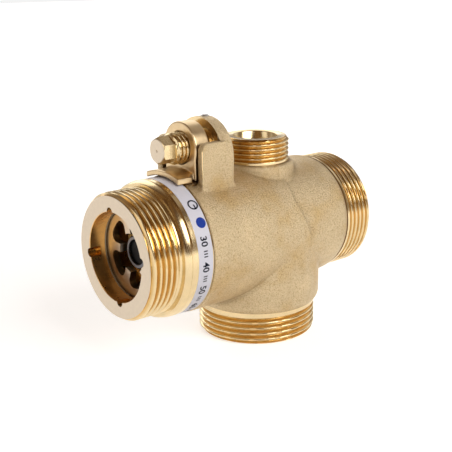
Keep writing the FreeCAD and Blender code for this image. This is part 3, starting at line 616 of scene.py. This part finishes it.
# ---- valve body -------------------------------------------------------------------------------
def casting():
    """Cast body with its bores, the slideway between the arms and the holes of the yoke."""
    low = (BARREL_X0 - 3, -BARREL_R - 2, BRANCH_Z0 - 3)
    high = (CAST_X1 + 3, BARREL_R + 2, BODY_HIGH.z + 3)
    piece = field_mesh("casting", casting_field, low, high, CASTING_GRID)
    track_half = YOKE_R - ARM_T
    yoke_top = YOKE_Z + YOKE_R + 1
    chamber_x = (COLD_X0 + COLD_X1) / 2
    pin_x = (PLATE_X0 + PLATE_X1) / 2
    slideway = block(ARM_X0 - PAST, PLATE_X0, -track_half, track_half, SLIDEWAY_Z, yoke_top)
    cut(slideway, [drum(ARM_X0 - 5, PLATE_X0 + 5, BARREL_R - 0.05)])
    tools = [
        slideway,
        block(CAST_X1, CAST_X1 + 20, -WIDE, WIDE, -WIDE, WIDE),
        block(BARREL_X0 - 20, BARREL_X0 + MOUTH_L, -WIDE, WIDE, -WIDE, WIDE),
        block(-WIDE, WIDE, -WIDE, WIDE, BRANCH_Z0 - 20, BRANCH_Z0),
        drum(BARREL_X0 - 20, SHOULDER_X, CART_BORE_R),
        drum(SHOULDER_X - 1, CAST_X1 + 5, HOT_BORE_R),
        drum(COLD_X0, COLD_X1, COLD_R),
        drum(BRANCH_Z0 - 5, BRANCH_ROOF, COLD_BORE_R, "Z"),
        drum(TOP_BORE_Z, TOP_FACE + PAST, TOP_BORE_R, "Z", (TOP_X, 0.0)),
        drum(CART_BORE_R - 1, TOP_FACE, TOP_DRILL_R, "Z", (chamber_x, 0.0)),
        block(TONGUE_SLOT_X0, TONGUE_SLOT_X1, -TONGUE_SLOT_HALF, TONGUE_SLOT_HALF,
              CART_BORE_R - 2, BARREL_R + 1),
        block(ARM_X0 - PAST, PLATE_X0, -track_half, track_half, BARREL_R - TRACK_DEPTH, yoke_top),
        block(ARM_X0 - PAST, PLATE_X0, -WIDE, WIDE, ARM_TOP - 0.2, yoke_top),
        drum(PLATE_X0 - 1, PLATE_X1 + 1, JOURNAL_HOLE_R, "X", (0.0, SCREW_Z)),
        drum(SCREW_Z, yoke_top, PIN_HOLE_R, "Z", (pin_x, 0.0), 48),
    ]
    cut(piece, tools)
    paint(piece, "cast", "turned_x")
    paint_by(piece, lambda c: np.abs(casting_field(c)) > CAST_SKIN)
    dress(piece, "valve", ["valve_body"])


def mouth_ring():
    """Machined mouth of the barrel with the spigot that the outlet sleeve goes over."""
    end = BARREL_X0 + MOUTH_L
    rows = [(SPIGOT_X0, CART_BORE_R), (SPIGOT_X0, SPIGOT_R - MOUTH_CHAMFER),
            (SPIGOT_X0 + MOUTH_CHAMFER, SPIGOT_R), (BARREL_X0, SPIGOT_R),
            (BARREL_X0, BARREL_R - MOUTH_CHAMFER), (BARREL_X0 + MOUTH_CHAMFER, BARREL_R),
            (end, BARREL_R), (end, CART_BORE_R)]
    piece = turned("mouth_ring", rows)
    paint(piece, "turned_x", "cast")
    paint_by(piece, lambda c: np.hypot(c[:, 1], c[:, 2]) > SPIGOT_R + 0.5)
    dress(piece, "valve", ["valve_body"])


def port_thread(name, axis, face, back, bore, major, pitch, outward, material, centre=(0.0, 0.0), neck=1.3):
    """Threaded end of a port: bore, face, chamfered thread and a plain neck, closed inside the casting."""
    depth = WHITWORTH * pitch
    low, high = sorted((face, back + outward * neck))
    fade = 0.5 * pitch
    if outward > 0:
        rows = thread_rows(low, high, major, pitch, depth, fade0=fade)
    else:
        rows = thread_rows(low, high, major, pitch, depth, fade1=fade)[::-1]
    rows = chamfered(rows, face, major, THREAD_CHAMFER, outward)
    inside = 1.2 * outward
    ring = [(back - inside, bore + 0.5), (back - inside, major - 0.5), (back, major - 0.5), (back, major)]
    ring += rows
    ring += [(face, major - THREAD_CHAMFER - 0.05), (face, bore + 0.3), (face - 0.3 * outward, bore),
             (back, bore), (back, bore + 0.5)]
    piece = turned(name, ring, axis, centre, sharp=50)
    paint(piece, material, "turned_x")
    paint_by(piece, lambda c: off_thread(c, axis, face, bore, centre))
    dress(piece, "valve", ["valve_body"])


def off_thread(points, axis, face, bore, centre):
    """True on a port's face and in its bore."""
    along = points[:, 0] if axis == "X" else points[:, 2]
    if axis == "X":
        radius = np.hypot(points[:, 1], points[:, 2])
    else:
        radius = np.hypot(points[:, 0] - centre[0], points[:, 1])
    return (radius < bore + 1.0) | (np.abs(along - face) < ON_FACE)


def outlet_sleeve():
    """Turned outlet: threaded nose, plain neck, collar with its groove, and the bore with four notches."""
    depth = WHITWORTH * PITCH
    face = OUT_FACE
    collar_x1 = SLEEVE_HIGH.x
    spider_x0 = SPIDER_LOW.x
    seat_x0, seat_x1, seat_r = LABEL_LOW.x - 0.05, LABEL_HIGH.x + 0.05, COLLAR_R - LABEL_SEAT
    pocket_r = SPIGOT_R + 0.05
    groove_x0, groove_r = spider_x0 - SNAP_GROOVE_W, OUT_BORE_R + SNAP_GROOVE_DEPTH
    rows = thread_rows(face, COLLAR_X0 - OUTLET_NECK, PORT_R, PITCH, depth, fade1=0.5 * PITCH)
    rows = chamfered(rows, face, PORT_R, THREAD_CHAMFER, -1)
    ring = [(face, OUT_BORE_R + 0.2), (face, PORT_R - THREAD_CHAMFER - 0.05)] + rows
    ring += [(COLLAR_X0, PORT_R), (COLLAR_X0, COLLAR_R - 1.0), (COLLAR_X0 + 0.5, COLLAR_R - 0.5),
             (COLLAR_X0 + 2.4, COLLAR_R), (COLLAR_X0 + 2.9, COLLAR_R - 0.4), (COLLAR_X0 + 3.4, COLLAR_R),
             (seat_x0, COLLAR_R), (seat_x0, seat_r), (seat_x1, seat_r), (seat_x1, COLLAR_R),
             (collar_x1 - 0.1, COLLAR_R), (collar_x1, COLLAR_R - 0.1), (collar_x1, pocket_r),
             (POCKET_X0, pocket_r), (POCKET_X0, SMALL_BORE_R), (SMALL_BORE_X0, SMALL_BORE_R),
             (SMALL_BORE_X0, OUT_BORE_R), (spider_x0, OUT_BORE_R), (spider_x0, groove_r),
             (groove_x0, groove_r), (groove_x0, OUT_BORE_R), (face + 0.2, OUT_BORE_R)]
    piece = turned("outlet_sleeve_turned", ring, sharp=50)
    tools = []
    for i in range(4):
        angle = math.radians(90 * i + NOTCH_TURN)
        centre = (OUT_BORE_R * math.cos(angle), OUT_BORE_R * math.sin(angle))
        tools.append(drum(face - 1, face + NOTCH_L, NOTCH_R, "X", centre, 48))
    cut(piece, tools)
    paint(piece, "port_x", "turned_x", "faced", "bore")
    paint_by(piece, lambda c: np.select(
        [np.abs(c[:, 0] - face) < ON_FACE, np.hypot(c[:, 1], c[:, 2]) < OUT_BORE_R + 1,
         c[:, 0] > COLLAR_X0 - 0.1], [2, 3, 1], 0))
    dress(piece, "valve", ["outlet_sleeve"])


def screw():
    """Hexagon with a chamfered crown, M12 thread and the journal with its groove."""
    hex_x0, end_x = SCREW_LOW.x, SCREW_HIGH.x
    hex_x1 = hex_x0 + HEX_L
    middle = (0.0, SCREW_Z)
    depth = SCREW_DEPTH * SCREW_PITCH
    rows = thread_rows(hex_x1, SCREW_SHOULDER_X, THREAD_R, SCREW_PITCH, depth, segments=96)
    rows = [(x, np.minimum(r, THREAD_END_R + (x - hex_x1))) for x, r in rows]
    ring = [(hex_x1 - 1.0, 0.0), (hex_x1 - 1.0, JOURNAL_R), (hex_x1, JOURNAL_R)] + rows
    ring += [(SCREW_SHOULDER_X, JOURNAL_R), (GROOVE_X0, JOURNAL_R), (GROOVE_X0, GROOVE_R),
             (GROOVE_X1, GROOVE_R), (GROOVE_X1, JOURNAL_R), (end_x - 0.5, JOURNAL_R),
             (end_x, JOURNAL_R - 0.5), (end_x, 0.0)]
    shank = turned("adjusting_screw_shank", ring, "X", middle, 96, closed=False, sharp=50)
    paint(shank, "turned_x")
    dress(shank, "screw", ["adjusting_screw"])
    segments = 96
    angle = np.arange(segments) * 2 * math.pi / segments
    wedge = (angle + math.pi / 6) % (math.pi / 3) - math.pi / 6
    flats = HEX_FLAT_R / np.cos(wedge)
    corner = HEX_FLAT_R / math.cos(math.pi / 6)
    slope = math.tan(math.radians(30))
    rim = HEX_FLAT_R - HEX_CROWN
    rows = [(hex_x0 + PIP_R, 0.0), (hex_x0, PIP_R)]
    for i in range(9):
        out = (corner - rim) * i / 8
        rows.append((hex_x0 + out * slope, np.minimum(rim + out, flats)))
    rows += [(hex_x1, flats), (hex_x1, 3.5)]
    head = turned("adjusting_screw_head", rows, "X", middle, segments, closed=False, sharp=14)
    paint(head, "faced", "turned_x")
    paint_by(head, lambda c: np.hypot(c[:, 1], c[:, 2] - SCREW_Z) > HEX_FLAT_R)
    dress(head, "screw", ["adjusting_screw"])


def carrier_field(p):
    """Threaded boss on its curved foot, with edges softened by tumbling."""
    x, y, z = p[..., 0], p[..., 1], p[..., 2]
    about_x = np.hypot(y, z)
    about_hole = np.hypot(y, z - SCREW_Z)
    boss_x1 = CARRIER_HIGH.x
    boss_x, boss_half = (BOSS_X0 + boss_x1) / 2, (boss_x1 - BOSS_X0) / 2
    boss = meet(about_hole - BOSS_R, np.abs(x - boss_x) - boss_half, CARRIER_EDGE_R)
    web = box_field(p, (boss_x, 0, WEB_Z), (boss_half, WEB_HALF, WEB_HALF_H), CARRIER_EDGE_R)
    front = CARRIER_LOW.x
    shell = np.maximum(about_x - FOOT_R1, FOOT_R0 - about_x)
    foot_wide = np.maximum(np.abs(x - (front + FOOT_L / 2)) - FOOT_L / 2, np.abs(y) - FOOT_HALF)
    neck = np.maximum(np.abs(x - (front + boss_x1) / 2) - (boss_x1 - front) / 2, np.abs(y) - NECK_HALF)
    foot = meet(shell, np.minimum(foot_wide, neck), CARRIER_EDGE_R)
    foot = np.maximum(foot, -z)
    shape = join(join(boss, web, 0.4), foot, 0.6)
    shape = meet(shape, FOOT_R0 - about_x, 0.3)
    shape = np.minimum(shape, box_field(p, TONGUE_CENTRE, TONGUE_HALF, 0.15))
    return meet(shape, CARRIER_HOLE_R - about_hole, 0.3)


def carrier():
    """Carrier that the screw moves along the yoke, with its foot on the barrel and its tongue through it."""
    low = CARRIER_LOW - Vector((1, 1, 1))
    high = CARRIER_HIGH + Vector((1, 1, 1))
    piece = field_mesh("carrier_tumbled", carrier_field, low, high, CARRIER_GRID)
    paint(piece, "carrier")
    dress(piece, "setting", ["adjusting_carrier"])


# ---- label ------------------------------------------------------------------------------------
def on_band(x, turn):
    """Point just over the label at x and turn (radians from +Y), as (x, y, z) columns."""
    radius = LABEL_HIGH.y + PRINT_LIFT
    return np.stack([x, radius * np.cos(turn), radius * np.sin(turn)], -1)


def label_print(name, x, degrees, outline_verts, outline_faces):
    """Flat shape printed on the label: u runs down the near side, v along X."""
    flat = np.asarray(outline_verts, dtype=np.float64)
    turn = math.radians(degrees) + flat[:, 0] / LABEL_HIGH.y
    piece = add_object(name, on_band(x + flat[:, 1], turn), outline_faces, 180)
    paint(piece, "ink")
    dress(piece, "valve", [])


def text_mesh(text, size):
    """Vertices and faces of a text of that height, in millimetres, cut fine enough to bend."""
    curve = bpy.data.curves.new("text", "FONT")
    curve.body = text
    curve.size = size
    curve.offset = INK_SPREAD
    curve.resolution_u = 4
    holder = bpy.data.objects.new("text", curve)
    bpy.context.scene.collection.objects.link(holder)
    bpy.context.view_layer.update()
    mesh = bpy.data.meshes.new_from_object(holder.evaluated_get(bpy.context.evaluated_depsgraph_get()))
    bpy.data.objects.remove(holder)
    work = bmesh.new()
    work.from_mesh(mesh)
    bmesh.ops.triangulate(work, faces=work.faces)
    for _ in range(2):
        long_edges = [e for e in work.edges if e.calc_length() > TEXT_EDGE]
        bmesh.ops.subdivide_edges(work, edges=long_edges, cuts=1)
        bmesh.ops.triangulate(work, faces=work.faces)
    verts = [tuple(v.co[:2]) for v in work.verts]
    faces = [[v.index for v in f.verts] for f in work.faces]
    work.free()
    return verts, faces


def bar(width, height, steps=4):
    """Rectangle from (0, 0): width along u, height along v."""
    verts = [(width * i / steps, v) for v in (0.0, height) for i in range(steps + 1)]
    faces = [(i, i + 1, steps + 2 + i, steps + 1 + i) for i in range(steps)]
    return verts, faces


def hoop(radius, width, segments=48):
    """Flat ring round (0, 0)."""
    angle = np.arange(segments) * 2 * math.pi / segments
    verts = [(r * math.cos(a), r * math.sin(a)) for r in (radius, radius - width) for a in angle]
    faces = [(i, (i + 1) % segments, segments + (i + 1) % segments, segments + i) for i in range(segments)]
    return verts, faces


def label_scale():
    """Plain scale round the label: numbers, ticks, and a round dial mark above the blue spot."""
    middle = (LABEL_LOW.x + LABEL_HIGH.x) / 2
    for i, number in enumerate(range(30, 70, 5)):
        turn = SCALE_TURN + SCALE_STEP * i
        if number % 10 == 0:
            label_print(f"label_number_{number}", middle - 1.3, turn, *text_mesh(str(number), NUMBER_H))
            continue
        for k in range(3):
            along = turn + 1.2 + TICK_STEP * k
            label_print(f"label_tick_{number}_{k}", middle - 0.8, along, *bar(TICK_W, TICK_H))
    label_print("label_dial", middle + 0.9, DIAL_TURN, *hoop(DIAL_R, DIAL_LINE))
    label_print("label_pointer", middle + 0.9, DIAL_TURN, *bar(POINTER_L, DIAL_LINE))


def label_dot(name, x, degrees, radius, material, rings=6, segments=48):
    """Round spot printed on the label."""
    top = LABEL_HIGH.y + DOT_LIFT
    verts = [(x, top * math.cos(math.radians(degrees)), top * math.sin(math.radians(degrees)))]
    faces = []
    for i in range(1, rings + 1):
        for j in range(segments):
            turn = 2 * math.pi * j / segments
            along = x + radius * i / rings * math.cos(turn)
            round_ = math.radians(degrees) + radius * i / rings * math.sin(turn) / top
            verts.append((along, top * math.cos(round_), top * math.sin(round_)))
    for j in range(segments):
        k = (j + 1) % segments
        faces.append((0, 1 + j, 1 + k))
        for i in range(rings - 1):
            low = 1 + i * segments
            faces.append((low + j, low + segments + j, low + segments + k, low + k))
    piece = add_object(name, verts, faces, 180)
    paint(piece, material)
    dress(piece, "valve", [])


# ---- scene ------------------------------------------------------------------------------------
ROOM_DARKEST = (-0.50, -0.55, 0.67)
ROOM_BRIGHT = (0.9, 0.9, 0.9)
ROOM_DIM = (0.20, 0.11, 0.04)
ROOM_PANELS = 5          # pale panels round the room, with gaps between
ROOM_GAP = (0.42, 0.36, 0.30)
FLOOR_GLOW = 0.55
FAR_GLOW = 1.0
ROOM_FADE = (-0.35, 0.65)
PANEL_EDGE = 0.6
FLOOR_SIZE = 6.0         # lengths and places of the scene itself are in metres
FLOOR_Z = -0.0002
FLOOR_NEAR, FLOOR_FAR = 0.20, 0.80      # between them the floor goes from FLOOR_GLOW to FAR_GLOW
CAMERA_AT = (-0.23866, -0.26947, 0.10240 + LIFT * MM)
CAMERA_TURN = (74.12, 0, -41.53)
CAMERA_LENS = 72.93
CAMERA_SHIFT = (-0.0671, -0.0059)
LAMP_TARGET = (-0.012, 0, 0.043)


def look(obj, target):
    """Turns a lamp toward a point."""
    direction = Vector(target) - obj.location
    obj.rotation_euler = direction.to_track_quat("-Z", "Y").to_euler()


def area_lamp(name, location, size, power):
    """Rectangular lamp that looks at the object; power is in watts."""
    lamp = bpy.data.lights.new(name, "AREA")
    lamp.shape = "RECTANGLE"
    lamp.size, lamp.size_y = size
    lamp.energy = power
    holder = bpy.data.objects.new(name, lamp)
    holder.location = location
    bpy.context.scene.collection.objects.link(holder)
    look(holder, LAMP_TARGET)


def camera():
    """Camera at the reference view."""
    data = bpy.data.cameras.new("camera")
    data.sensor_width = 36.0
    data.lens = CAMERA_LENS
    data.shift_x, data.shift_y = CAMERA_SHIFT
    data.clip_start = 0.01
    holder = bpy.data.objects.new("camera", data)
    holder.location = CAMERA_AT
    holder.rotation_euler = [math.radians(turn) for turn in CAMERA_TURN]
    bpy.context.scene.collection.objects.link(holder)
    bpy.context.scene.camera = holder


def studio_world():
    """Pale room with soft panels round it, dim and warm up behind the camera."""
    world = bpy.data.worlds.new("world")
    bpy.context.scene.world = world
    world.use_nodes = True
    tree = world.node_tree
    tree.nodes.clear()
    output = tree.nodes.new("ShaderNodeOutputWorld")
    place_node = tree.nodes.new("ShaderNodeTexCoord")
    toward = add_node(tree, "ShaderNodeVectorMath", operation="DOT_PRODUCT")
    toward.inputs[1].default_value = Vector(ROOM_DARKEST).normalized()
    tree.links.new(place_node.outputs["Generated"], toward.inputs[0])
    level = add_node(tree, "ShaderNodeMapRange", interpolation_type="SMOOTHSTEP")
    level.inputs["From Min"].default_value = ROOM_FADE[0]
    level.inputs["From Max"].default_value = ROOM_FADE[1]
    tree.links.new(toward.outputs["Value"], level.inputs["Value"])
    tint = ramp(tree, level.outputs["Result"], [(0.0, ROOM_BRIGHT), (1.0, ROOM_DIM)])
    parts = tree.nodes.new("ShaderNodeSeparateXYZ")
    tree.links.new(place_node.outputs["Generated"], parts.inputs[0])
    wave = add_node(tree, "ShaderNodeMath", operation="ARCTAN2")
    tree.links.new(parts.outputs["Y"], wave.inputs[0])
    tree.links.new(parts.outputs["X"], wave.inputs[1])
    for operation, value in (("MULTIPLY", ROOM_PANELS), ("COSINE", None)):
        step = add_node(tree, "ShaderNodeMath", operation=operation)
        tree.links.new(wave.outputs[0], step.inputs[0])
        if value is not None:
            step.inputs[1].default_value = value
        wave = step
    panels = add_node(tree, "ShaderNodeMapRange", interpolation_type="SMOOTHSTEP")
    panels.inputs["From Min"].default_value = -PANEL_EDGE
    panels.inputs["From Max"].default_value = PANEL_EDGE
    tree.links.new(wave.outputs[0], panels.inputs["Value"])
    shade = ramp(tree, panels.outputs["Result"], [(0.0, ROOM_GAP), (1.0, WHITE)])
    light = add_node(tree, "ShaderNodeBackground")
    tree.links.new(multiply(tree, tint, shade), light.inputs["Color"])
    tree.links.new(light.outputs[0], output.inputs["Surface"])


def white_floor():
    """Floor that shows white to the camera, in metal and through glass, and keeps the shadow."""
    bpy.ops.mesh.primitive_plane_add(size=FLOOR_SIZE, location=(0, 0, FLOOR_Z))
    floor = bpy.context.object
    floor.name = "floor"
    material = bpy.data.materials.new("floor")
    material.use_nodes = True
    tree = material.node_tree
    tree.nodes.clear()
    output = tree.nodes.new("ShaderNodeOutputMaterial")
    matt = add_node(tree, "ShaderNodeBsdfDiffuse", Color=(0.8, 0.8, 0.8, 1))
    glow = add_node(tree, "ShaderNodeEmission", Color=(1, 1, 1, 1))
    path = tree.nodes.new("ShaderNodeLightPath")
    first = add_node(tree, "ShaderNodeMath", operation="MAXIMUM")
    second = add_node(tree, "ShaderNodeMath", operation="MAXIMUM")
    strength = add_node(tree, "ShaderNodeMath", operation="MULTIPLY")
    place_node = tree.nodes.new("ShaderNodeTexCoord")
    reach = add_node(tree, "ShaderNodeVectorMath", operation="LENGTH")
    tree.links.new(place_node.outputs["Object"], reach.inputs[0])
    level = add_node(tree, "ShaderNodeMapRange", interpolation_type="SMOOTHSTEP")
    level.inputs["From Min"].default_value = FLOOR_NEAR
    level.inputs["From Max"].default_value = FLOOR_FAR
    level.inputs["To Min"].default_value = FLOOR_GLOW
    level.inputs["To Max"].default_value = FAR_GLOW
    tree.links.new(reach.outputs["Value"], level.inputs["Value"])
    tree.links.new(level.outputs["Result"], strength.inputs[1])
    tree.links.new(path.outputs["Is Camera Ray"], first.inputs[0])
    tree.links.new(path.outputs["Is Glossy Ray"], first.inputs[1])
    tree.links.new(first.outputs[0], second.inputs[0])
    tree.links.new(path.outputs["Is Transmission Ray"], second.inputs[1])
    tree.links.new(second.outputs[0], strength.inputs[0])
    tree.links.new(strength.outputs[0], glow.inputs["Strength"])
    both = tree.nodes.new("ShaderNodeAddShader")
    tree.links.new(matt.outputs[0], both.inputs[0])
    tree.links.new(glow.outputs[0], both.inputs[1])
    tree.links.new(both.outputs[0], output.inputs["Surface"])
    floor.data.materials.append(material)


def lamps():
    """Key lamp in front, a weak one beside the outlet and a wide one behind."""
    area_lamp("key", (0.08, -0.64, 0.48), (0.6, 0.45), 4.4)
    area_lamp("left", (-0.62, 0.05, 0.30), (0.3, 0.45), 0.5)
    area_lamp("back", (0.25, 0.60, 0.50), (0.9, 0.6), 2.0)
    bpy.context.scene.view_settings.view_transform = "Standard"


for node_name, material_name in NODE_MATERIALS.items():
    paint(frame["nodes"][node_name], material_name)
casting()
mouth_ring()
port_thread("hot_port_thread", "X", HOT_FACE, CAST_X1, HOT_BORE_R, PORT_R, PITCH, 1, "port_x", neck=0.9)
port_thread("cold_port_thread", "Z", COLD_FACE, BRANCH_Z0, COLD_BORE_R, PORT_R, PITCH, -1, "port_z")
port_thread("top_port_thread", "Z", TOP_FACE, PAD_Z - 0.6, TOP_BORE_R, TOP_R, TOP_PITCH, 1, "top_z",
            (TOP_X, 0.0), 1.4)
outlet_sleeve()
screw()
carrier()
label_dot("label_blue_dot", DOT_X, DOT_TURN, DOT_R, "blue")
label_scale()
camera()
studio_world()
white_floor()
lamps()
